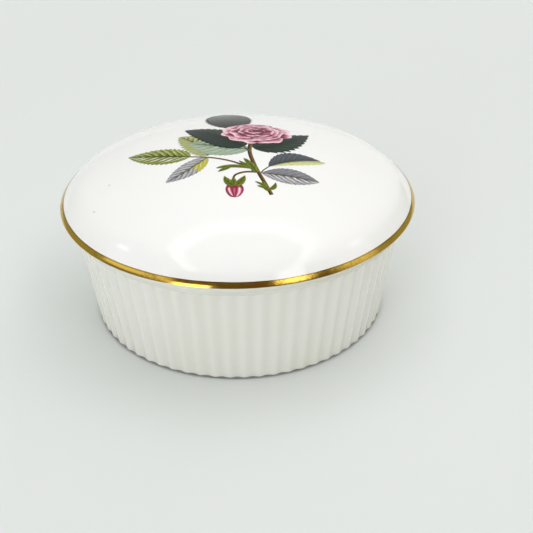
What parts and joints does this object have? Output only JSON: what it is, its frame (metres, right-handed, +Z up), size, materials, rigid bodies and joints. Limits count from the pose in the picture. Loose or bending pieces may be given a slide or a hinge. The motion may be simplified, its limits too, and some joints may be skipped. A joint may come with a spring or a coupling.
{
  "type": "porcelain trinket box",
  "caption": "Round porcelain trinket box: ribbed bowl on a foot ring, with a domed lift-off lid that a flange locates in the bowl's mouth and a gilded edge.",
  "frame": {"origin": "centre of the foot ring, on the surface that the box stands on", "axes": "+Z up along the axis that the bowl and the lid are turned around, -Y towards the front of the printed spray"},
  "size_m": [0.096, 0.096, 0.0473],
  "materials": {
    "porcelain": "clear gloss glaze over white bone china",
    "gilt": "burnished gilding, lightly worn"
  },
  "bodies": {
    "base": {"base_bowl": "porcelain"},
    "lid": {"lid": "porcelain", "lid_gilt_band": "gilt"}
  },
  "joints": [
    {"name": "lid_lift", "type": "slide", "parent": "base", "child": "lid", "axis": [0, 0, 1], "range_m": [0, 0.06]}
  ]
}
